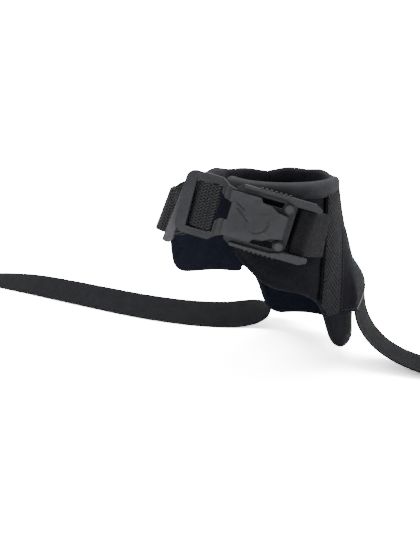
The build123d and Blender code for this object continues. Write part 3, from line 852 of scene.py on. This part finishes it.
def make_rims():
    start = -math.acos(-17 / float(half_x(RIM_Z)))
    stop = float(left_at(seam_y(RIM_Z), RIM_Z))
    angle = np.linspace(start, stop, 120)
    edge = wall(angle, np.full(angle.shape, RIM_Z))
    normal = unit(np.cross(np.gradient(edge, axis=0), (0, 0, 1)))
    rise = np.tile((0.0, 0.0, 1.0), (len(angle), 1))
    # shade is painted on the rim roll's inner side where y is more than SEAM_Y
    rim = roll("rim_binding_roll", edge, normal, rise, rim_ripple, SEAM_Y)
    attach(rim, "cuff")
    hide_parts("back_rim_binding", "right_rim_binding")
    y = seam_y(RIM_Z) - np.linspace(0, 1, 60) ** 0.9 * (seam_y(RIM_Z) - NOSE_Y - 7)
    edge = left_point(y, left_top(y), 0.0)
    radial = unit((edge - (*LEFT_CENTRE, 0)) * (1, 1, 0))
    rise = np.cross(unit(np.gradient(edge, axis=0)), radial)
    rise *= np.sign(rise[:, 2:])
    # shade is painted on the flap roll's inner side where y is more than -34
    flap_rim = roll("left_flap_binding_roll", edge, radial, rise, lambda run: 0.3 * np.sin(run / 9.0), -34.0)
    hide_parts("left_rim_binding")
    swing_blend(flap_rim)


# ---------------- side webbing, sleeves, piping
ALL_SIDES = ["first", "last", "top", "bottom"]
STRIP_T = 1.6
STRIP_TALL = 110
SIDE_STITCH = 0.22


def strip_low(y):
    return np.maximum(lower_z(y) + 1.5, -52)


def sewn_edge(core, near_edge):
    """A shallow channel where the side webbing is sewn down."""
    return -0.35 * np.exp(-((near_edge - 2.4) / 0.5) ** 2)


def make_strips():
    sides = (("right_side_strip", right_at, SEAM_Y + 2), ("left_side_strip", left_at, SEAM_Y + 17))
    for name, at_side, front in sides:
        surface = panel(lambda z: at_side(front, z), lambda z: at_side(front + STRIP_W, z),
                        level_line(BINDING_LOW + 1), strip_low)
        strip = shell(name + "_webbing", surface, fine_steps(STRIP_W, 1.6, THIN_FINE),
                      fine_steps(STRIP_TALL, 2.2, THIN_FINE), STRIP_T, STRIP_T / 2, ALL_SIDES, [], sewn_edge,
                      STRIP)
        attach(strip, "cuff")
        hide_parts(name)
        t = np.linspace(0.02, 0.97, 90)
        for k, share in enumerate((0.09, 0.91)):
            line = surface(np.full(t.shape, share), t, STRIP_T + 0.02)
            stitches(f"{name}_stitching_{k}", line, SIDE_STITCH)


# right tether: outwards and down from the sleeve, then along the surface
TETHER_DIR = np.array((0.75, 0.66, 0.0)) / math.hypot(0.75, 0.66)
TETHER_FROM = np.array((48.6, 71.8, 0.0))
FLAT_Z = FLOOR_Z + TETHER_T / 2
TETHER_POINTS = [(-1.6, -38), (0.5, -58), (9, -77), (24, -94), (46, -107), (76, -115), (112, FLAT_Z),
                 (150, FLAT_Z + 0.9), (188, FLAT_Z + 0.3), (222, FLAT_Z + 1.2)]
HEM_TURN = 14  # degrees by which it lies flatter to the cuff where it leaves the sleeve
# left tether: twists forwards and lies tilted on the surface; centre and width direction
LEFT_TETHER = [
    ((-47.6, 72.5, -38), (0.56, 0.83, 0)),
    ((-49.4, 74.6, -59), (0.54, 0.84, 0)),
    ((-56.5, 73.5, -80), (0.40, 0.91, 0.08)),
    ((-67.0, 62.0, -96), (0.22, 0.94, 0.26)),
    ((-79.0, 41.0, -105), (0.04, 0.91, 0.40)),
    ((-95.0, 13.0, -109.5), (-0.16, 0.88, 0.45)),
    ((-119, -17.0, -110), (-0.33, 0.83, 0.46)),
    ((-152, -48.0, -110), (-0.44, 0.77, 0.46)),
    ((-192, -78.0, -110), (-0.47, 0.75, 0.46)),
    ((-238, -108, -110), (-0.48, 0.75, 0.46)),
    ((-288, -140, -110), (-0.47, 0.76, 0.45)),
    ((-338, -171, -111), (-0.48, 0.78, 0.40)),
    ((-384, -200, -114.8), (-0.50, 0.84, 0.22)),
    ((-420, -222, -118), (-0.52, 0.85, 0.0)),
    ((-448, -239, -118), (-0.52, 0.85, 0.0)),
]


def tether_weave(run, lane):
    """Faint long ribs and a firmer selvedge, as on flat polyester webbing."""
    return 0.05 + 0.03 * np.cos(lane * math.tau / 2.4) + 0.10 * smooth((np.abs(lane) - 17.2) / 0.8)


def make_tether(name, route, widths):
    """A tether along its route, which leaves the sleeve at the route's second point."""
    line = nurbs_line(route)
    aside = nurbs_line([Vector(p) + Vector(w) * 10 for p, w in zip(route, widths)])
    strap = band(name + "_webbing", name, line, aside - line, TETHER_T - 0.25, TETHER, tether_weave, 30)
    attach(strap, "cuff")
    round(float(lengths_along(line)[-1]) * MM, 3)


def turned(direction, degrees):
    """The direction turned about the vertical."""
    return np.array(Matrix.Rotation(math.radians(degrees), 3, "Z") @ Vector(direction))


def make_tethers():
    right_route = [tuple(TETHER_FROM + TETHER_DIR * s + (0, 0, z)) for s, z in TETHER_POINTS]
    side = np.cross(TETHER_DIR, (0, 0, 1))
    sides = [tuple(turned(side, -HEM_TURN * (1 - smooth((s - 2) / 60)))) for s, _ in TETHER_POINTS]
    make_tether("right_tether", right_route, sides)
    make_tether("left_tether", [p for p, _ in LEFT_TETHER], [w for _, w in LEFT_TETHER])


HEM_AT = 0.955              # the hem's seam, as a share of the sleeve's height


def slack_cloth(core, near_edge):
    return rough_field(core * (1, 1, 0.6), 19.0, 5.0) * 0.5


def make_sleeves():
    """Outer panels that hold the tethers: flared towards a stitched hem, and lifted over the strap."""
    # the hem's height against y, then the cloth's and the tether's distance outwards against z
    hem = spline((36, 52, 68, 84, 100), (-53, -54, -48, -42, -37))
    flare = spline((-60, -52, -28, 0, 24), (4.0, 4.2, 3.8, 1.0, 0.0))
    tether_reach = spline((-80, -58, -38, -20), (9, 0.5, -1.6, -2.5))
    across_steps, down_steps = (fine_steps(length, 2.4, THIN_FINE) for length in (85, 82))
    half_t, back_x = 0.75, 12
    # name, side of the wall, line of its back edge, its front edge behind the seam, tether's place and face
    sides = (("right_sleeve", right_at, lambda z: np.arccos(back_x / half_x(z)), 27.5, TETHER_FROM,
              turned(TETHER_DIR, -HEM_TURN)),
             ("left_sleeve", left_at, lambda z: np.pi - np.arccos(back_x / half_x(z)), 42.5,
              np.array((-48.2, 73.2, 0)), unit(np.array((-0.83, 0.56, 0)))))
    for name, at_side, back, front, strap_at, outwards in sides:
        surface = panel(lambda z: at_side(SEAM_Y + front, z), back, lambda y: 24 - 18 * smooth((y - 66) / 40),
                        lambda y: hem(np.clip(y, 36, 100)))
        across = np.cross(outwards, (0, 0, 1))

        def lift(core):
            z = core[..., 2]
            base = flare(z)
            lane = np.abs((core - strap_at) @ across)
            need = strap_at @ outwards + tether_reach(z) + 1.8 - core @ outwards
            over_strap = need * smooth((29 - lane) / 12) * smooth((2 - z) / 44)
            higher = (base + over_strap + np.sqrt((base - over_strap) ** 2 + 1.5)) / 2 - 0.3
            sewn_down = smooth(edge_distance(core, ["first", "last", "top"]) / 13)
            return half_t + np.maximum(base, higher) * sewn_down

        piece = shell(name + "_cloth", surface, across_steps, down_steps, 2 * half_t, lift, ALL_SIDES, [],
                      slack_cloth, COVER)
        subdivide(piece)
        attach(piece, "cuff")
        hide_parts(name)
        row = int(np.argmin(np.abs(down_steps - HEM_AT)))
        lifts = lift(surface(*np.meshgrid(across_steps, down_steps), 0.0))[row]

        def on_hem(s, t, over):
            return surface(s, np.full(s.shape, t), np.interp(s, across_steps, lifts) + half_t + over)

        stitches(f"{name}_hem_stitching", on_hem(np.linspace(0.02, 0.98, 120), HEM_AT, 0.2), 0.3, 2.6, 0.7)
        t = np.linspace(0.03, 0.95, 60)
        stitches(f"{name}_side_stitching", surface(np.full(60, 0.03), t, 2 * half_t + 0.12), SIDE_STITCH)
        if name == "right_sleeve":
            loose = on_hem(np.linspace(0.22, 0.66, 24), HEM_AT + 0.02, 0.45)
            turn = np.linspace(0.1, 1, 9)
            end = np.outer(turn, (4.2, 3.6, 3.4)) + np.outer(np.sin(3 * turn), (0.2, -0.2, 1.1))
            thread = np.concatenate([loose, loose[-1] + end])
            tube("hem_loose_thread", thread, 0.36, LOOSE_THREAD, 6)


def make_piping():
    z = np.linspace(BINDING_LOW - 0.5, float(lower_z(SEAM_Y)) + 2, 70)
    tube("right_seam_piping", wall(right_at(SEAM_Y + 0.4, z), z, 0.5), 1.0, PIPING)
    z = np.linspace(BINDING_LOW - 0.5, -30, 70)
    tube("left_seam_piping", wall(left_at(seam_y(z) + 1.2, z), z, 0.4), 1.1, PIPING)


# ---------------- belt webbing
def at(u, v, w):
    """A point by its distances along, up and out from the buckle's origin."""
    return (BUCKLE_AT + np.multiply.outer(np.asarray(u, float), ALONG)
            + np.multiply.outer(np.asarray(v, float), UP) + np.multiply.outer(np.asarray(w, float), OUT))


def rounded(points, radii, step):
    """A flat path of straight runs and round bends, sampled evenly."""
    points = [np.array(p, float) for p in points]
    path = [points[0]]
    for before, corner, after, radius in zip(points, points[1:], points[2:], radii):
        first = (before - corner) / np.linalg.norm(before - corner)
        second = (after - corner) / np.linalg.norm(after - corner)
        half = math.acos(np.clip(first @ second, -1, 1)) / 2
        reach = radius / math.tan(half)
        middle = corner + (first + second) / np.linalg.norm(first + second) * radius / math.sin(half)
        start, end = corner + first * reach - middle, corner + second * reach - middle
        sweep = math.pi - 2 * half
        for k in np.linspace(0, 1, max(4, int(sweep * radius / step))):
            mixed = (start * math.sin((1 - k) * sweep) + end * math.sin(k * sweep)) / math.sin(sweep)
            path.append(middle + mixed)
    path = np.array([*path, points[-1]])
    run = lengths_along(path)
    even = np.linspace(0, run[-1], int(run[-1] / step))
    return np.stack([np.interp(even, run, path[:, k]) for k in range(2)], axis=-1)


# the two straps' middle lines through their bars: along and out from the buckle, with bend radii
STRAP_POINTS = [(-4.6, -50.8), (-13.5, -28.5), (-10.4, 3.1), (13.6, 3.1), (17.5, 8.5), (33.2, 8.5),
                (33.2, 0.9), (-6.6, 0.9), (-7.2, -12)]
STRAP_RADII = [16, 7.5, 3, 3, 1.5, 1.5, 5]
ANCHOR_POINTS = [(130, -17.5), (120, -4), (113, 4.2), (102.2, 4.2), (102.2, -1.4), (108.5, -1.4), (115, -6),
                 (127.6, -20.6)]
ANCHOR_RADII = [9, 6, 1.6, 1.6, 5, 10]
DROOP = 13.0                # how far the strap hangs below the frame's middle line beyond it


def chevrons(run, lane):
    """Coarse herringbone: slanted ribs that change direction from one column to the next."""
    column, pitch = 2.7, 2.6
    zigzag = np.abs((run / column) % 2 - 1)
    rib = 0.5 + 0.5 * np.cos(math.tau * (lane / pitch + zigzag * 1.1))
    column_edge = np.abs(np.sin(math.pi * run / column))
    return 0.75 * rib ** 0.8 * (0.35 + 0.65 * smooth(column_edge / 0.5))


def plain_ribs(run, lane):
    """Plain webbing: cross ribs broken into short floats."""
    return 0.16 * (0.5 + 0.5 * np.cos(run * math.tau / 1.7)) * (0.6 + 0.4 * np.cos(lane * math.tau / 1.5))


def make_belt():
    path = rounded(STRAP_POINTS, STRAP_RADII, 0.55)
    # beyond the frame the strap droops and leans as it goes round the leg
    outside = smooth((14 - path[:, 0]) / 12) * (0.76 + 0.24 * smooth((path[:, 1] + 49) / 20))
    lean = np.clip((4 - path[:, 1]) / 30, 0, 1) * smooth(-path[:, 0] / 8) * 0.10
    across = UP + np.outer(lean, OUT) + np.outer(0.13 * outside, ALONG)
    front = band("front_strap_webbing", "front_webbing", at(path[:, 0], -DROOP * outside, path[:, 1]), across,
                 STRAP_T - 0.5, HERRINGBONE, chevrons, 72)
    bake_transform(front)
    path = rounded(ANCHOR_POINTS, ANCHOR_RADII, 0.5)
    middle = at(path[:, 0], 0 * path[:, 0], path[:, 1])
    length = lengths_along(path)[-1]

    def upright_ends(run, lane):
        return 0.283 * lane * (smooth((16 - run) / 14) - smooth((run - length + 16) / 14))

    anchor = band("anchor_strap_webbing", "anchor_webbing", middle, np.tile(UP, (len(path), 1)),
                  STRAP_T - 0.2, PLAIN, plain_ribs, 60, upright_ends)
    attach(anchor, "cuff")
    y = np.linspace(8.0, -69.0, 150)
    middle = left_point(y, HINGE_AT[2] + (HINGE_AT[1] - y) * 0.19, 0.95)
    sewn = band("flap_strap_webbing", "flap_webbing", middle, np.tile((0.052, 0.27, 0.96), (len(y), 1)),
                STRAP_T - 0.5, HERRINGBONE, chevrons, 60)
    swing_blend(sewn)


def make_keeper():
    """A soft loop round the strap, just beyond the frame."""
    half_v, half_w, corner, tongue_r = 25.0, 2.5, 2.4, 4.8
    around, sides = 48, 20
    turn = np.linspace(0, math.tau, around, endpoint=False)
    outward = np.stack([np.cos(turn), np.sin(turn)], axis=-1)
    loop = np.sign(outward) * (half_v - corner, half_w - corner) + corner * outward
    side = np.linspace(0, math.tau, sides, endpoint=False)
    deep = np.clip(np.sin(side) * 1.35, -1, 1) * 0.4
    ring = loop[:, None] + outward[:, None] * deep[None, :, None]
    v, w = ring[..., 0], ring[..., 1]
    # its lower end is a rounded tongue
    tongue = np.clip(v + half_v + 0.4, 0.6, tongue_r)
    breadth = np.minimum(3.5 + 1.3 * smooth((-15 - v) / 4), np.sqrt(tongue_r ** 2 - (tongue_r - tongue) ** 2))
    along = np.clip(np.cos(side) * 1.35, -1, 1)[None] * breadth
    points = at(3.8 + along + 0.13 * (v - 14), v - DROOP - 1.5, 1.9 + w)
    weave = np.stack([along, np.tile(turn[:, None] * 14, (1, sides)), 0 * v], axis=-1)
    faces = grid_faces(around, sides, around=True, across=True)
    piece = mesh_object("keeper_loop", points.reshape(-1, 3), faces, [ELASTIC], weave.reshape(-1, 3))
    subdivide(piece)
    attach(piece, "keeper")
    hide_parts("strap_keeper")


# ---------------- moulded and metal pieces
def softened(node, name, material, width):
    """The CAD piece's shape with its edges rounded over a width, as moulding leaves them."""
    piece = placed(name, NODES[node].data.copy())
    piece.data.materials.clear()
    piece.data.materials.append(material)
    bm = bmesh.new()
    bm.from_mesh(piece.data)
    bmesh.ops.remove_doubles(bm, verts=bm.verts, dist=1e-6)
    bmesh.ops.dissolve_limit(bm, angle_limit=math.radians(1.5), verts=bm.verts, edges=bm.edges)
    bm.to_mesh(piece.data)
    bm.free()
    piece.data.polygons.foreach_set("material_index", [0] * len(piece.data.polygons))
    piece.data.polygons.foreach_set("use_smooth", [True] * len(piece.data.polygons))
    bevel = piece.modifiers.new("bevel", "BEVEL")
    bevel.width = width * MM
    bevel.segments = 3
    bevel.limit_method = "ANGLE"
    bevel.angle_limit = math.radians(32)
    bevel.use_clamp_overlap = True
    bevel.miter_outer = "MITER_ARC"
    piece.modifiers.new("normals", "WEIGHTED_NORMAL").keep_sharp = True
    apply_modifiers(piece)
    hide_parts(node)
    return piece


def make_buckle():
    parts = (("male_buckle", "male_buckle_moulding", "front_strap", PLASTIC, 0.5),
             ("buckle_base", "buckle_base_moulding", "cuff", PLASTIC_DEEP, 0.35),
             ("upper_lever", "upper_lever_moulding", "upper_release_lever", PLASTIC_DEEP, 0.4),
             ("lower_lever", "lower_lever_moulding", "lower_release_lever", PLASTIC_DEEP, 0.4))
    for node, name, body, material, width in parts:
        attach(softened(node, name, material, width), body)
    finishes = {"lever_pins": PLASTIC, "base_magnet": NICKEL, "base_magnet_cap": PLASTIC_DEEP,
                "plate_magnet": NICKEL, "plate_magnet_cap": PLASTIC, "upper_lever_spring": STEEL,
                "lower_lever_spring": STEEL, "right_tether_eyelet": BLACK_BRASS,
                "left_tether_eyelet": BLACK_BRASS}
    for node, material in finishes.items():
        data = NODES[node].data
        data.materials.clear()
        data.materials.append(material)
        data.polygons.foreach_set("material_index", [0] * len(data.polygons))


make_camera()
make_sky()
make_lamps()
make_floor()
make_tethers()
make_pads()
make_left_flap()
make_rims()
make_strips()
make_sleeves()
make_piping()
make_belt()
make_keeper()
make_buckle()
